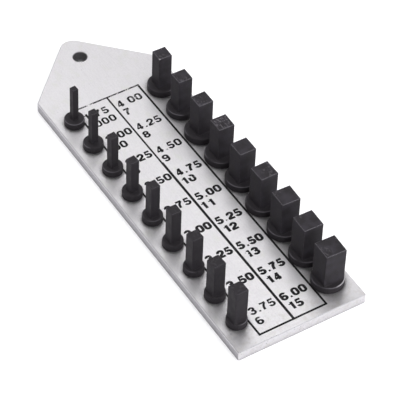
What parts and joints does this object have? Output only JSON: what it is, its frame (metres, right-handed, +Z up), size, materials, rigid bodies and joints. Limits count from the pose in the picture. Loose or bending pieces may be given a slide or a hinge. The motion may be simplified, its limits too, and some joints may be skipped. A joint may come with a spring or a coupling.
{
  "type": "clock key gauge",
  "caption": "Flat metal plate with a rounded point and hanging hole, carrying two rows of graded square pegs on round collars that clock keys are tried on.",
  "frame": {"origin": "middle of the plate's width and length, on its underside", "axes": "+Y along the plate towards its pointed end, +X across it towards the row of large pegs, +Z up out of the face that carries the pegs"},
  "size_m": [0.0388, 0.1212, 0.0162],
  "materials": {
    "plate": "satin, finely brushed, with black print",
    "peg": "matt black, moulded"
  },
  "bodies": {
    "root": {"gauge_plate": "plate", "peg_1_75": "peg", "peg_2_00": "peg", "peg_2_25": "peg", "peg_2_50": "peg", "peg_2_75": "peg", "peg_3_00": "peg", "peg_3_25": "peg", "peg_3_50": "peg", "peg_3_75": "peg", "peg_4_00": "peg", "peg_4_25": "peg", "peg_4_50": "peg", "peg_4_75": "peg", "peg_5_00": "peg", "peg_5_25": "peg", "peg_5_50": "peg", "peg_5_75": "peg", "peg_6_00": "peg"}
  },
  "joints": []
}
